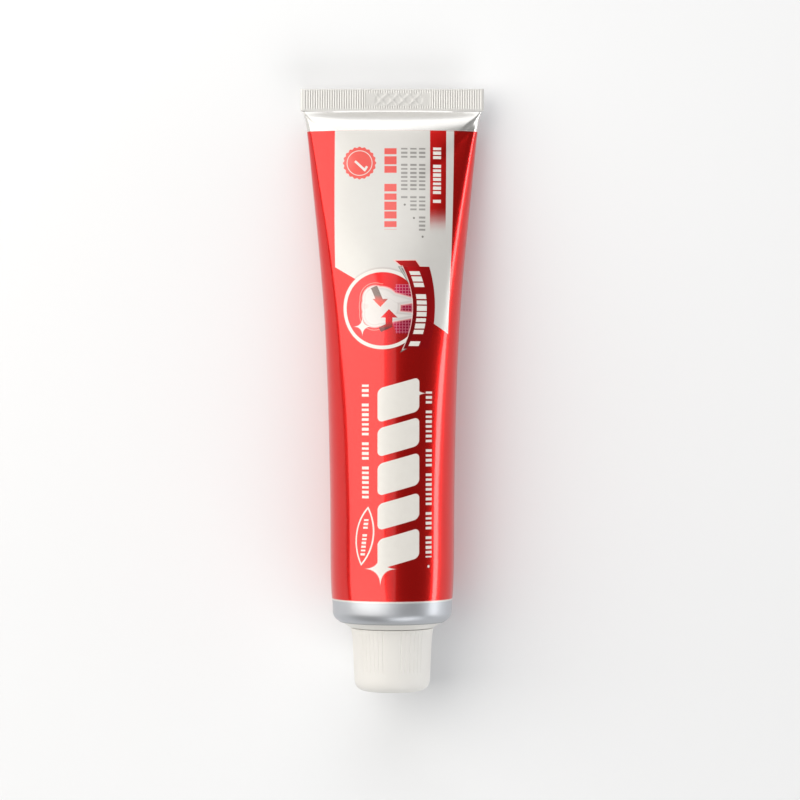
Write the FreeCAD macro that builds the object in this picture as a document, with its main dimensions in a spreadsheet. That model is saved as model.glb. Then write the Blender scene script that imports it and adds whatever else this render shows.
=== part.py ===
import FreeCAD, Part
import math
import os
import Sketcher

# A full toothpaste tube lying on its back: a printed laminate sleeve sealed flat at the tail, a moulded
# shoulder with its neck and nozzle bore, the filling, and a grooved screw cap.
#
# Every piece is drawn in the tube's own working frame: +Z runs along the tube from the tail's edge to the
# cap's end, +Y is the label side, and the origin is on the cap's axis. LYING then turns the label up (+Z),
# the tail towards +Y, and puts the point it rests on at height 0. All lengths are millimetres.

# ---------------------------------------------------------------- driving dimensions
SIZES = {
    "tube_radius": 17.5,          # round end of the sleeve, outside
    "wall": 0.3,                  # laminate thickness
    "overall_length": 177.8,
    # crimped tail
    "crimp_length": 6.5,
    "crimp_half_width": 27.25,
    "crimp_half_thickness": 0.38,
    "crimp_height": 8.6,          # mid-plane of the crimp above the surface the tube lies on
    "rib_pitch": 0.96,
    "rib_width": 0.5,
    "rib_height": 0.14,
    "left_ribs_start": 26.0,      # distance of the first rib from the centre line
    "right_ribs_start": 12.0,
    # sleeve's run from the crimp to the round end
    "taper_end": 152.3,           # from here on the sleeve is round
    "fill_start": 1.0,            # the two walls part this far after the crimp
    "sink": 0.4,                  # how far the soft body settles into a flat
    # rolled end over the shoulder
    "roll_start": 154.3,
    "roll_radius": 3.2,
    "lip_radius": 15.3,
    # moulded shoulder and neck
    "shoulder_wall": 1.3,
    "ledge_radius": 12.3,
    "neck_radius": 6.0,
    "neck_length": 13.0,
    "bore_radius": 4.0,
    "bore_floor_gap": 0.6,        # the filling stops this far into the bore
    # cap
    "cap_gap": 0.3,               # clearance between cap and shoulder, and cap and nozzle
    "cap_rim_radius": 12.16,
    "cap_waist_radius": 11.6,
    "cap_waist_rise": 4.2,
    "cap_end_radius": 10.93,
    "cap_skirt_wall": 1.2,
    "cap_plate": 1.5,
    "cap_edge_round": 2.0,
    "collar_bore_radius": 7.0,
    "collar_wall": 1.2,
    "collar_rise": 2.8,           # the collar stops this far above the rim
    "seal_radius": 5.0,
    "grip_length": 12.7,
    "grip_depth": 0.18,
    "grip_angle": 1.7,            # each groove's width, degrees
    "grip_pitch": 6.8,            # degrees between the grooves of one group
}
CONE_ANGLE = math.radians(34.5)   # slope of the shoulder, measured from the radial plane
GRIP_GROUPS = 6
GROOVES_PER_GROUP = 6
LEFT_RIBS = 19
RIGHT_RIBS = 15
# Stations of the sleeve's sections, as distances from the crimp. They crowd where the shape turns fast.
STATIONS = (0.0, 1.0, 2.2, 4.0, 7.0, 12.0, 20.0, 32.0, 48.0, 68.0, 92.0, 118.0, 138.0, 145.8)


def add_derived_sizes():
    """Sizes that follow from the driving ones: the rolled end's tangent point and the cone's levels."""
    slope = math.tan(CONE_ANGLE)
    turn = math.pi / 2 - CONE_ANGLE
    radius = SIZES["tube_radius"]
    roll = SIZES["roll_radius"]
    wall = SIZES["wall"]
    normal = (math.sin(CONE_ANGLE), math.cos(CONE_ANGLE))
    centre = radius - roll
    tangent = (centre + roll * math.cos(turn), SIZES["roll_start"] + roll * math.sin(turn))
    lip_level = tangent[1] + (tangent[0] - SIZES["lip_radius"]) * slope
    SIZES["roll_tangent_radius"] = tangent[0]
    SIZES["roll_tangent_level"] = tangent[1]
    SIZES["lip_level"] = lip_level
    SIZES["lip_inner_radius"] = SIZES["lip_radius"] - 2 * wall * normal[0]
    SIZES["lip_inner_level"] = lip_level - 2 * wall * normal[1]

    # the shoulder lies against the sleeve's inner side
    SIZES["shoulder_radius"] = radius - wall
    SIZES["under_roll_radius"] = roll - wall
    SIZES["under_tangent_radius"] = tangent[0] - wall * normal[0]
    SIZES["under_tangent_level"] = tangent[1] - wall * normal[1]
    drop = SIZES["under_tangent_radius"] - SIZES["ledge_radius"]
    SIZES["ledge_level"] = SIZES["under_tangent_level"] + drop * slope
    SIZES["mouth_level"] = SIZES["ledge_level"] + SIZES["neck_length"]

    # inside of the shoulder: the same cone, one wall thickness further in
    inner = SIZES["shoulder_radius"] - SIZES["shoulder_wall"]
    SIZES["shoulder_inner_radius"] = inner
    SIZES["cavity_cone_level"] = SIZES["roll_start"] + 0.6
    floor = SIZES["cavity_cone_level"] + (inner - SIZES["neck_radius"]) * slope * 0.5
    SIZES["cavity_top_level"] = floor
    SIZES["cavity_top_radius"] = SIZES["neck_radius"]
    SIZES["fill_top_level"] = floor + SIZES["bore_floor_gap"]

    SIZES["rim_level"] = SIZES["ledge_level"] + SIZES["cap_gap"]
    SIZES["waist_level"] = SIZES["rim_level"] + SIZES["cap_waist_rise"]
    SIZES["plate_level"] = SIZES["overall_length"] - SIZES["cap_plate"]
    SIZES["collar_level"] = SIZES["rim_level"] + SIZES["collar_rise"]
    SIZES["collar_outer_radius"] = SIZES["collar_bore_radius"] + SIZES["collar_wall"]
    SIZES["seal_level"] = SIZES["mouth_level"] + SIZES["cap_gap"]
    SIZES["grip_top_level"] = SIZES["rim_level"] + SIZES["grip_length"]
    # the flare is a circle that is tangent to the straight taper at the waist
    run = SIZES["overall_length"] - SIZES["waist_level"]
    taper = (SIZES["cap_waist_radius"] - SIZES["cap_end_radius"]) / run
    rise = SIZES["cap_waist_rise"]
    spread = SIZES["cap_rim_radius"] - SIZES["cap_waist_radius"] - taper * rise
    SIZES["flare_radius"] = rise * rise / (2 * spread)
    SIZES["grip_top_radius"] = SIZES["cap_waist_radius"] - taper * (SIZES["grip_length"] - rise)


def half_width(distance):
    """Half the sleeve's width, measured at a distance from the crimp.

    The round radius plus a swell that dies away along the tube: a broad stretched exponential, a short
    one next to the crimp, and a slight bulge of the full tube that closes on the round end.
    """
    run = SIZES["taper_end"] - SIZES["crimp_length"]
    swell = 7.293 * math.exp(-((distance / 52.0) ** 1.566)) + 1.16 * math.exp(-distance / 4.26)
    closing = 1 - math.exp(-(run - distance) / 4.0)
    return SIZES["tube_radius"] + (0.572 + swell) * closing


def section(distance):
    """The oval at one station: half width, side radius, broad radius, broad arc's half angle, height.

    Four tangent arcs whose whole length is the round tube's circumference, because a laminate bends but
    doesn't stretch. Next to the crimp the oval is pressed thinner than that.
    """
    radius = SIZES["tube_radius"]
    quarter = math.pi * radius / 2
    width = half_width(distance)
    fullness = (quarter - width) / (quarter - radius)
    angle = 0.1 + 0.6 * fullness + 0.5 * fullness ** 6
    bow = math.sin(angle)
    side = (bow * quarter - width * angle) / (bow * math.pi / 2 - angle)
    pressed = 1 - 0.86 * math.exp(-distance / 1.6)
    side = side * pressed
    angle = angle * pressed
    broad = side + (width - side) / math.sin(angle)
    half_height = broad - (broad - side) * math.cos(angle)
    settled = SIZES["sink"] * (1 - math.exp((distance + SIZES["crimp_length"] - SIZES["taper_end"]) / 5.0))
    softness = 1.2
    resting = half_height - settled
    lift = softness * math.log(1 + math.exp((SIZES["crimp_height"] - resting) / softness))
    middle = resting + lift - radius
    return width, side, broad, angle, middle


def add_station_sizes():
    """One set of cells for each station: its place, side centre, radii and middle line."""
    for number, distance in enumerate(STATIONS):
        width, side, broad, angle, middle = section(distance)
        SIZES["place_of_%d" % number] = SIZES["crimp_length"] + distance
        SIZES["side_centre_of_%d" % number] = width - side
        SIZES["side_radius_of_%d" % number] = side
        SIZES["crown_drop_of_%d" % number] = (broad - side) * math.cos(angle)
        SIZES["depth_of_%d" % number] = -middle


# ---------------------------------------------------------------- document and helpers
def value_of(terms):
    """The number behind a sum of named sizes, such as 'neck_radius - wall'."""
    total = 0.0
    sign = 1.0
    for term in terms.split():
        if term in ("+", "-"):
            sign = 1.0 if term == "+" else -1.0
        else:
            total += sign * SIZES[term]
    return total


def expression_of(terms):
    """The same sum as an expression on the sheet's cells."""
    return " ".join(term if term in ("+", "-") else "Sizes." + term for term in terms.split())


def make_sheet(doc):
    sheet = doc.addObject("Spreadsheet::Sheet", "Sizes")
    for row, (name, number) in enumerate(SIZES.items(), start=1):
        sheet.set("A%d" % row, name)
        sheet.set("B%d" % row, repr(round(number, 6)))
        sheet.setAlias("B%d" % row, name)
    doc.recompute()
    return sheet


def origin_plane(body, role):
    for feature in body.Origin.OriginFeatures:
        if feature.Role == role:
            return feature
    raise RuntimeError("no plane " + role)


def new_sketch(body, name, role):
    sketch = body.newObject("Sketcher::SketchObject", name)
    sketch.AttachmentSupport = [(origin_plane(body, role), "")]
    sketch.MapMode = "FlatFace"
    return sketch


def bind(sketch, name, terms):
    """Names the sketch's last constraint and ties it to the sheet."""
    sketch.renameConstraint(sketch.ConstraintCount - 1, name)
    sketch.setExpression("Constraints." + name, expression_of(terms))


def place_point(sketch, curve, end, tag, across, along):
    """Holds one end of a curve at named distances from the sketch's origin; 'axis' is the vertical axis."""
    if across == "axis":
        sketch.addConstraint(Sketcher.Constraint("PointOnObject", curve, end, -2))
    else:
        sketch.addConstraint(Sketcher.Constraint("DistanceX", -1, 1, curve, end, value_of(across)))
        bind(sketch, "across_" + tag, across)
    sketch.addConstraint(Sketcher.Constraint("DistanceY", -1, 1, curve, end, value_of(along)))
    bind(sketch, "along_" + tag, along)


def arc_between(first, last, radius, bend):
    """Arc of a given radius from first to last; bend is +1 to curve left of the chord, -1 to the right."""
    chord = last - first
    middle = (first + last) * 0.5
    reach = math.sqrt(radius * radius - chord.Length * chord.Length / 4)
    side = FreeCAD.Vector(-chord.y, chord.x, 0).normalize()
    centre = middle - side * (reach * bend)
    crown = centre + side * (radius * bend)
    return Part.Arc(first, crown, last)


def draw_profile(sketch, corners, arcs):
    """A closed outline through named corners. arcs maps a corner's index to the radius name and the bend
    of the arc that leaves it; every other side is straight."""
    points = []
    for across, along in corners:
        x = 0.0 if across == "axis" else value_of(across)
        points.append(FreeCAD.Vector(x, value_of(along), 0))
    count = len(points)
    curves = []
    starts = []
    for index in range(count):
        first = points[index]
        last = points[(index + 1) % count]
        if index in arcs:
            radius_name, bend = arcs[index]
            arc = arc_between(first, last, value_of(radius_name), bend)
            curve = sketch.addGeometry(arc, False)
            # a sketch keeps every arc anticlockwise, so its ends may have changed places
            begins = sketch.getPoint(curve, 1).distanceToPoint(first) < 0.001
            curves.append(curve)
            starts.append(1 if begins else 2)
        else:
            curves.append(sketch.addGeometry(Part.LineSegment(first, last), False))
            starts.append(1)
    for index in range(count):
        following = (index + 1) % count
        joint = Sketcher.Constraint("Coincident", curves[index], 3 - starts[index],
                                    curves[following], starts[following])
        sketch.addConstraint(joint)
    for index, (across, along) in enumerate(corners):
        place_point(sketch, curves[index], starts[index], "corner%d" % index, across, along)
    for index, (radius_name, bend) in arcs.items():
        sketch.addConstraint(Sketcher.Constraint("Radius", curves[index], value_of(radius_name)))
        bind(sketch, "round%d" % index, radius_name)


def revolve(body, name, corners, arcs):
    """Turns a profile, drawn as radius across and level along, about the tube's axis."""
    sketch = new_sketch(body, name + "_profile", "XZ_Plane")
    draw_profile(sketch, corners, arcs)
    turned = body.newObject("PartDesign::Revolution", name)
    turned.Profile = sketch
    turned.ReferenceAxis = (sketch, ["V_Axis"])
    turned.Angle = 360.0
    return turned


def hold_round(sketch, curves, radius_terms):
    """The last station is a true circle about the tube's axis: its four arcs share centre and radius."""
    first = curves[0]
    for other in curves[1:]:
        sketch.addConstraint(Sketcher.Constraint("Coincident", first, 3, other, 3))
    for index in range(3):
        sketch.addConstraint(Sketcher.Constraint("Coincident", curves[index], 2, curves[index + 1], 1))
    sketch.addConstraint(Sketcher.Constraint("PointOnObject", first, 3, -2))
    sketch.addConstraint(Sketcher.Constraint("Radius", first, value_of(radius_terms)))
    bind(sketch, "round_radius", radius_terms)
    sketch.addConstraint(Sketcher.Constraint("PointOnObject", first, 3, -1))


def oval_sketch(body, name, number, inset):
    """One station's oval: two side arcs and two broad arcs, all tangent. inset names the wall to take off."""
    sketch = new_sketch(body, name, "XY_Plane")
    sketch.setExpression("AttachmentOffset.Base.z", expression_of("place_of_%d" % number))
    shrink = " - wall" if inset else ""
    side_terms = "side_radius_of_%d" % number + shrink
    side_centre = "side_centre_of_%d" % number
    crown_drop = "crown_drop_of_%d" % number
    depth = "depth_of_%d" % number

    side = value_of(side_terms)
    reach = value_of(side_centre)
    drop = value_of(crown_drop)
    middle = -value_of(depth)
    broad = side + math.hypot(reach, drop)
    lean = math.pi / 2 - section(STATIONS[number])[3]
    axis = FreeCAD.Vector(0, 0, 1)
    places = (
        (FreeCAD.Vector(reach, middle, 0), side, -lean, lean),
        (FreeCAD.Vector(0, middle - drop, 0), broad, lean, math.pi - lean),
        (FreeCAD.Vector(-reach, middle, 0), side, math.pi - lean, math.pi + lean),
        (FreeCAD.Vector(0, middle + drop, 0), broad, math.pi + lean, 2 * math.pi - lean),
    )
    curves = []
    for centre, radius, start, end in places:
        circle = Part.Circle(centre, axis, radius)
        curves.append(sketch.addGeometry(Part.ArcOfCircle(circle, start, end), False))
    right, crown, left, belly = curves
    if STATIONS[number] == STATIONS[-1]:
        hold_round(sketch, curves, "tube_radius" + shrink)
        return sketch
    for index in range(4):
        following = curves[(index + 1) % 4]
        sketch.addConstraint(Sketcher.Constraint("Tangent", curves[index], 2, following, 1))
    sketch.addConstraint(Sketcher.Constraint("Radius", right, side))
    bind(sketch, "right_radius", side_terms)
    sketch.addConstraint(Sketcher.Constraint("Radius", left, side))
    bind(sketch, "left_radius", side_terms)
    sketch.addConstraint(Sketcher.Constraint("DistanceX", -1, 1, right, 3, reach))
    bind(sketch, "right_reach", side_centre)
    sketch.addConstraint(Sketcher.Constraint("DistanceX", left, 3, -1, 1, reach))
    bind(sketch, "left_reach", side_centre)
    sketch.addConstraint(Sketcher.Constraint("DistanceY", right, 3, -1, 1, -middle))
    bind(sketch, "right_depth", depth)
    sketch.addConstraint(Sketcher.Constraint("DistanceY", left, 3, -1, 1, -middle))
    bind(sketch, "left_depth", depth)
    sketch.addConstraint(Sketcher.Constraint("DistanceY", crown, 3, right, 3, drop))
    bind(sketch, "crown_drop", crown_drop)
    sketch.addConstraint(Sketcher.Constraint("DistanceY", right, 3, belly, 3, drop))
    bind(sketch, "belly_rise", crown_drop)
    return sketch


def oval_loft(body, name, first_station, inset):
    """A smooth skin through the ovals from one station to the round end."""
    sketches = []
    for number in range(first_station, len(STATIONS)):
        sketches.append(oval_sketch(body, "%s_section_%d" % (name, number), number, inset))
    loft = body.newObject("PartDesign::AdditiveLoft", name)
    loft.Profile = sketches[0]
    loft.Sections = sketches[1:]
    loft.Ruled = False
    loft.Closed = False
    return loft


def trim_below(body, name, level_terms):
    """Cuts away what lies lower than a level, so that the soft body has a flat to rest on."""
    sketch = new_sketch(body, name + "_outline", "XY_Plane")
    half = 2 * SIZES["tube_radius"]
    top = -value_of(level_terms)
    low = top - half
    corners = ((-half, low), (half, low), (half, top), (-half, top))
    points = [FreeCAD.Vector(x, y, 0) for x, y in corners]
    for index in range(4):
        sketch.addGeometry(Part.LineSegment(points[index], points[(index + 1) % 4]), False)
    for index in range(4):
        sketch.addConstraint(Sketcher.Constraint("Coincident", index, 2, (index + 1) % 4, 1))
    for index in (0, 2):
        sketch.addConstraint(Sketcher.Constraint("Horizontal", index))
    for index in (1, 3):
        sketch.addConstraint(Sketcher.Constraint("Vertical", index))
    sketch.addConstraint(Sketcher.Constraint("DistanceY", 2, 1, -1, 1, -top))
    bind(sketch, "depth", level_terms)
    pocket = body.newObject("PartDesign::Pocket", name)
    pocket.Profile = sketch
    pocket.Type = "Length"
    pocket.Midplane = False
    pocket.Reversed = True
    pocket.setExpression("Length", "Sizes.overall_length")
    return pocket


def new_body(doc, name):
    body = doc.addObject("PartDesign::Body", name)
    body.Label = name
    return body


# ---------------------------------------------------------------- the pieces
def rectangle_sketch(body, name, left, right, low, high):
    """A rectangle on the tail's edge plane, with plain numbers for a first shape."""
    sketch = new_sketch(body, name, "XY_Plane")
    points = [FreeCAD.Vector(left, low, 0), FreeCAD.Vector(right, low, 0),
              FreeCAD.Vector(right, high, 0), FreeCAD.Vector(left, high, 0)]
    for index in range(4):
        sketch.addGeometry(Part.LineSegment(points[index], points[(index + 1) % 4]), False)
    for index in range(4):
        sketch.addConstraint(Sketcher.Constraint("Coincident", index, 2, (index + 1) % 4, 1))
    for index in (0, 2):
        sketch.addConstraint(Sketcher.Constraint("Horizontal", index))
    for index in (1, 3):
        sketch.addConstraint(Sketcher.Constraint("Vertical", index))
    return sketch


def add_crimp(body):
    """The flat sealed tail: both walls pressed into one band."""
    half = SIZES["crimp_half_width"]
    thick = SIZES["crimp_half_thickness"]
    middle = -SIZES["depth_of_0"]
    sketch = rectangle_sketch(body, "crimp_outline", -half, half, middle - thick, middle + thick)
    sketch.addConstraint(Sketcher.Constraint("DistanceX", -1, 1, 1, 1, half))
    bind(sketch, "right_edge", "crimp_half_width")
    sketch.addConstraint(Sketcher.Constraint("DistanceX", 0, 1, -1, 1, half))
    bind(sketch, "left_edge", "crimp_half_width")
    sketch.addConstraint(Sketcher.Constraint("DistanceY", 0, 1, -1, 1, thick - middle))
    bind(sketch, "low_face", "depth_of_0 + crimp_half_thickness")
    sketch.addConstraint(Sketcher.Constraint("DistanceY", 2, 1, -1, 1, -middle - thick))
    bind(sketch, "high_face", "depth_of_0 - crimp_half_thickness")
    band = body.newObject("PartDesign::Pad", "crimp_band")
    band.Profile = sketch
    band.setExpression("Length", "Sizes.crimp_length")
    return band


def add_ribs(body, name, side, start_name, count):
    """A row of pressed ribs that stand proud of both faces of the crimp, repeated along its width."""
    half = SIZES["rib_width"] / 2
    reach = SIZES["crimp_half_thickness"] + SIZES["rib_height"]
    middle = -SIZES["depth_of_0"]
    centre = side * SIZES[start_name]
    sketch = rectangle_sketch(body, name + "_outline", centre - half, centre + half,
                              middle - reach, middle + reach)
    sketch.addConstraint(Sketcher.Constraint("DistanceX", 0, 1, 0, 2, 2 * half))
    bind(sketch, "width", "rib_width")
    if side < 0:
        sketch.addConstraint(Sketcher.Constraint("DistanceX", 0, 1, -1, 1, half - centre))
        sketch.renameConstraint(sketch.ConstraintCount - 1, "start")
        sketch.setExpression("Constraints.start", "Sizes.%s + Sizes.rib_width / 2" % start_name)
    else:
        sketch.addConstraint(Sketcher.Constraint("DistanceX", -1, 1, 0, 1, centre - half))
        sketch.renameConstraint(sketch.ConstraintCount - 1, "start")
        sketch.setExpression("Constraints.start", "Sizes.%s - Sizes.rib_width / 2" % start_name)
    sketch.addConstraint(Sketcher.Constraint("DistanceY", 0, 1, -1, 1, reach - middle))
    bind(sketch, "low_face", "depth_of_0 + crimp_half_thickness + rib_height")
    sketch.addConstraint(Sketcher.Constraint("DistanceY", 2, 1, -1, 1, -middle - reach))
    bind(sketch, "high_face", "depth_of_0 - crimp_half_thickness - rib_height")
    rib = body.newObject("PartDesign::Pad", name)
    rib.Profile = sketch
    rib.setExpression("Length", "Sizes.crimp_length")
    row = body.newObject("PartDesign::LinearPattern", name + "_row")
    row.Originals = [rib]
    row.Direction = (origin_plane(body, "X_Axis"), [""])
    row.Occurrences = count
    row.setExpression("Length", "Sizes.rib_pitch * %d" % (count - 1))
    body.Tip = row
    return row


def make_sleeve_outside(doc):
    """The sleeve as if it were solid: tapering body, rolled end, ribbed crimp and the flat underneath."""
    body = new_body(doc, "sleeve_outside")
    oval_loft(body, "sleeve_run", 0, False)
    corners = (
        ("axis", "taper_end"),
        ("tube_radius", "taper_end"),
        ("tube_radius", "roll_start"),
        ("roll_tangent_radius", "roll_tangent_level"),
        ("lip_radius", "lip_level"),
        ("lip_inner_radius", "lip_inner_level"),
        ("axis", "lip_inner_level"),
    )
    revolve(body, "rolled_end", corners, {2: ("roll_radius", -1)})
    trim_below(body, "resting_flat", "tube_radius")
    add_crimp(body)
    add_ribs(body, "left_rib", -1, "left_ribs_start", LEFT_RIBS)
    add_ribs(body, "right_rib", 1, "right_ribs_start", RIGHT_RIBS)
    return body


def make_toothpaste(doc):
    """The filling: everything inside the laminate, up to the foot of the nozzle bore."""
    body = new_body(doc, "toothpaste")
    oval_loft(body, "filled_run", 1, True)
    corners = (
        ("axis", "taper_end"),
        ("shoulder_inner_radius", "taper_end"),
        ("shoulder_inner_radius", "cavity_cone_level"),
        ("cavity_top_radius", "cavity_top_level"),
        ("bore_radius", "cavity_top_level"),
        ("bore_radius", "fill_top_level"),
        ("axis", "fill_top_level"),
    )
    revolve(body, "filled_shoulder", corners, {})
    trim_below(body, "resting_flat_inside", "tube_radius - wall")
    return body


def make_shoulder(doc):
    """The moulded head: a short skirt inside the sleeve, the cone, the neck and the bore through it."""
    body = new_body(doc, "tube_shoulder")
    corners = (
        ("shoulder_inner_radius", "taper_end"),
        ("shoulder_radius", "taper_end"),
        ("shoulder_radius", "roll_start"),
        ("under_tangent_radius", "under_tangent_level"),
        ("ledge_radius", "ledge_level"),
        ("neck_radius", "ledge_level"),
        ("neck_radius", "mouth_level"),
        ("bore_radius", "mouth_level"),
        ("bore_radius", "cavity_top_level"),
        ("cavity_top_radius", "cavity_top_level"),
        ("shoulder_inner_radius", "cavity_cone_level"),
    )
    revolve(body, "shoulder_and_neck", corners, {2: ("under_roll_radius", -1)})
    return body


def ring_edges(feature, radius, level):
    """Names of the round edges of a feature that have this radius and stand at this level."""
    names = []
    for number, edge in enumerate(feature.Shape.Edges, start=1):
        if not hasattr(edge.Curve, "Radius"):
            continue
        if abs(edge.Curve.Radius - radius) < 0.01 and abs(edge.Curve.Center.z - level) < 0.01:
            names.append("Edge%d" % number)
    return names


def make_cap(doc):
    """The screw cap: flared skirt with grip grooves, end plate, threaded collar and sealing boss."""
    body = new_body(doc, "cap")
    corners = (
        ("axis", "seal_level"),
        ("seal_radius", "seal_level"),
        ("seal_radius", "plate_level"),
        ("collar_bore_radius", "plate_level"),
        ("collar_bore_radius", "collar_level"),
        ("collar_outer_radius", "collar_level"),
        ("collar_outer_radius", "plate_level"),
        ("cap_end_radius - cap_skirt_wall", "plate_level"),
        ("cap_waist_radius - cap_skirt_wall", "waist_level"),
        ("cap_rim_radius - cap_skirt_wall", "rim_level"),
        ("cap_rim_radius", "rim_level"),
        ("cap_waist_radius", "waist_level"),
        ("cap_end_radius", "overall_length"),
        ("axis", "overall_length"),
    )
    shell = revolve(body, "cap_shell", corners, {10: ("flare_radius", 1)})
    doc.recompute()
    edge_round = body.newObject("PartDesign::Fillet", "end_edge_round")
    edge_round.Base = (shell, ring_edges(shell, SIZES["cap_end_radius"], SIZES["overall_length"]))
    edge_round.setExpression("Radius", "Sizes.cap_edge_round")
    doc.recompute()

    # one groove: a thin slice of a turn, cut to an even depth below the flared skirt
    sketch = new_sketch(body, "grip_groove_profile", "XZ_Plane")
    groove_corners = (
        ("cap_rim_radius - grip_depth", "rim_level"),
        ("cap_rim_radius + grip_depth", "rim_level"),
        ("cap_rim_radius + grip_depth", "grip_top_level"),
        ("grip_top_radius - grip_depth", "grip_top_level"),
        ("cap_waist_radius - grip_depth", "waist_level"),
    )
    draw_profile(sketch, groove_corners, {4: ("flare_radius", -1)})
    groove = body.newObject("PartDesign::Groove", "grip_groove")
    groove.Profile = sketch
    groove.ReferenceAxis = (sketch, ["V_Axis"])
    groove.setExpression("Angle", "Sizes.grip_angle")
    groove.Midplane = True
    doc.recompute()

    # a group of grooves, then the group repeated round the cap
    grooves = body.newObject("PartDesign::MultiTransform", "grip_grooves")
    grooves.Originals = [groove]
    group = body.newObject("PartDesign::PolarPattern", "grip_group")
    group.Axis = (origin_plane(body, "Z_Axis"), [""])
    group.Occurrences = GROOVES_PER_GROUP
    group.setExpression("Angle", "Sizes.grip_pitch * %d" % (GROOVES_PER_GROUP - 1))
    rounds = body.newObject("PartDesign::PolarPattern", "grip_round")
    rounds.Axis = (origin_plane(body, "Z_Axis"), [""])
    rounds.Occurrences = GRIP_GROUPS
    rounds.Angle = 360.0
    grooves.Transformations = [group, rounds]
    body.Tip = grooves
    return body


def make_sleeve(doc, outside, contents):
    """The laminate: the sleeve's outside less all that it holds. The whole cut is made in one go, because
    the contents meet inside it face to face."""
    sleeve = doc.addObject("Part::Feature", "tube_sleeve")
    sleeve.Shape = outside.Shape.cut([piece.Shape for piece in contents])
    sleeve.Label = "tube_sleeve"
    return sleeve


def check(objects, pieces):
    """Stops if any feature failed or any piece is empty or not valid."""
    for item in objects:
        if "Invalid" in item.State or "Error" in item.State:
            raise RuntimeError("%s failed: %s" % (item.Name, item.State))
    for piece in pieces:
        shape = piece.Shape
        if shape.isNull() or not shape.isValid() or shape.Volume <= 0:
            raise RuntimeError("%s has no valid shape" % piece.Label)


def main():
    add_derived_sizes()
    add_station_sizes()
    doc = FreeCAD.newDocument("ToothpasteTube")
    make_sheet(doc)

    outside = make_sleeve_outside(doc)
    toothpaste = make_toothpaste(doc)
    shoulder = make_shoulder(doc)
    cap = make_cap(doc)

    # groove lines start a little way round from the label side, so a smooth land faces up
    lying = FreeCAD.Placement(FreeCAD.Vector(0, SIZES["overall_length"] / 2, SIZES["tube_radius"]),
                              FreeCAD.Rotation(FreeCAD.Vector(1, 0, 0), 90))
    first_groove = FreeCAD.Placement(FreeCAD.Vector(), FreeCAD.Rotation(FreeCAD.Vector(0, 0, 1), 103))
    for body in (outside, toothpaste, shoulder):
        body.Placement = lying
    cap.Placement = lying * first_groove
    doc.recompute()

    sleeve = make_sleeve(doc, outside, (toothpaste, shoulder))

    pieces = (sleeve, shoulder, toothpaste, cap)
    check(doc.Objects, pieces)
    os.makedirs("parts", exist_ok=True)
    for piece in pieces:
        piece.Shape.exportStep("parts/%s.step" % piece.Label)
        box = piece.Shape.optimalBoundingBox()
        print("%-14s %8.2f ml  x %.2f..%.2f  y %.2f..%.2f  z %.2f..%.2f  solids %d" % (
            piece.Label, piece.Shape.Volume / 1000, box.XMin, box.XMax, box.YMin, box.YMax,
            box.ZMin, box.ZMax, len(piece.Shape.Solids)))


main()
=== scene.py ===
import math

import bmesh
import bpy
import numpy as np
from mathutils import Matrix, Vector


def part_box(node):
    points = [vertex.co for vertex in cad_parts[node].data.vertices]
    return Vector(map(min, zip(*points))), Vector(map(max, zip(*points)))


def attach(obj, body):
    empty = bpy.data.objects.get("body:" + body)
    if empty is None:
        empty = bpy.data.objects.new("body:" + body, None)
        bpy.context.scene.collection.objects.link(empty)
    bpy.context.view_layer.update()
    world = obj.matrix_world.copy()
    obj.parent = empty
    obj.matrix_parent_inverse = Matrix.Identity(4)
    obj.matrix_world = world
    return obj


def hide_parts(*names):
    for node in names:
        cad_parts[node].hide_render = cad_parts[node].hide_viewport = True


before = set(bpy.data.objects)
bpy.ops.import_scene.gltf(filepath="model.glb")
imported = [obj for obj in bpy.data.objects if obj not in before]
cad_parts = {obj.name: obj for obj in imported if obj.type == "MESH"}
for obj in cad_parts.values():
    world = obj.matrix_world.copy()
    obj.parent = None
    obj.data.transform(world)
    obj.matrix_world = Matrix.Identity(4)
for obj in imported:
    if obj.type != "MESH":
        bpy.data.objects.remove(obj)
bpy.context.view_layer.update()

MM = 0.001
TAU = 2 * math.pi


def node_box(name):
    """The low and the high corner of a node's box, in mm."""
    return [np.array(corner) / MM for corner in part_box(name)]


# ------------------------------------------------------------------ sizes in mm, outer ones from the frame
sleeve_low, sleeve_high = node_box("tube_sleeve")
shoulder_low, shoulder_high = node_box("tube_shoulder")
cap_low, cap_high = node_box("cap")
paste_low = node_box("toothpaste")[0]

TAIL = sleeve_high[1]                      # the tail's edge: other places count from it, along the tube
RADIUS = sleeve_high[2] / 2                # round end of the sleeve
GIRTH = TAU * RADIUS
CRIMP_HALF = sleeve_high[0]
CRIMP_LENGTH = 6.5
CRIMP_HALF_THICKNESS = 0.38
CRIMP_HEIGHT = 8.6                         # the crimp's middle plane, above the table
RELIEF = 0.1                               # depth of the crimp's pressed pattern, up and down
WALL = 0.3
LIP = TAIL - sleeve_low[1]
TAPER_END = TAIL - shoulder_high[1]        # from here on the sleeve is round
ROLL_START = TAPER_END + 2.0
ROLL_RADIUS = 3.2
LIP_RADIUS = 15.3
CONE = math.radians(34.5)                  # the shoulder's slope, from the radial plane
MOUTH = TAIL - shoulder_low[1]
LEDGE = MOUTH - 13.0                       # where the neck starts
LEDGE_RADIUS = 12.3
NECK_RADIUS = 6.0
BORE_RADIUS = 4.0
SHOULDER_WALL = 1.3
CAVITY = ROLL_START + 0.6                  # the shoulder's inside starts to close here
FILL_TOP = TAIL - paste_low[1]
THREAD_PITCH = 3.0
THREAD_RISE = 0.6
THREAD_HALF = 0.75                         # half width of the ridge at its foot
THREAD_FADE = 0.3                          # part of a turn over which the thread runs in and out

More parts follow.
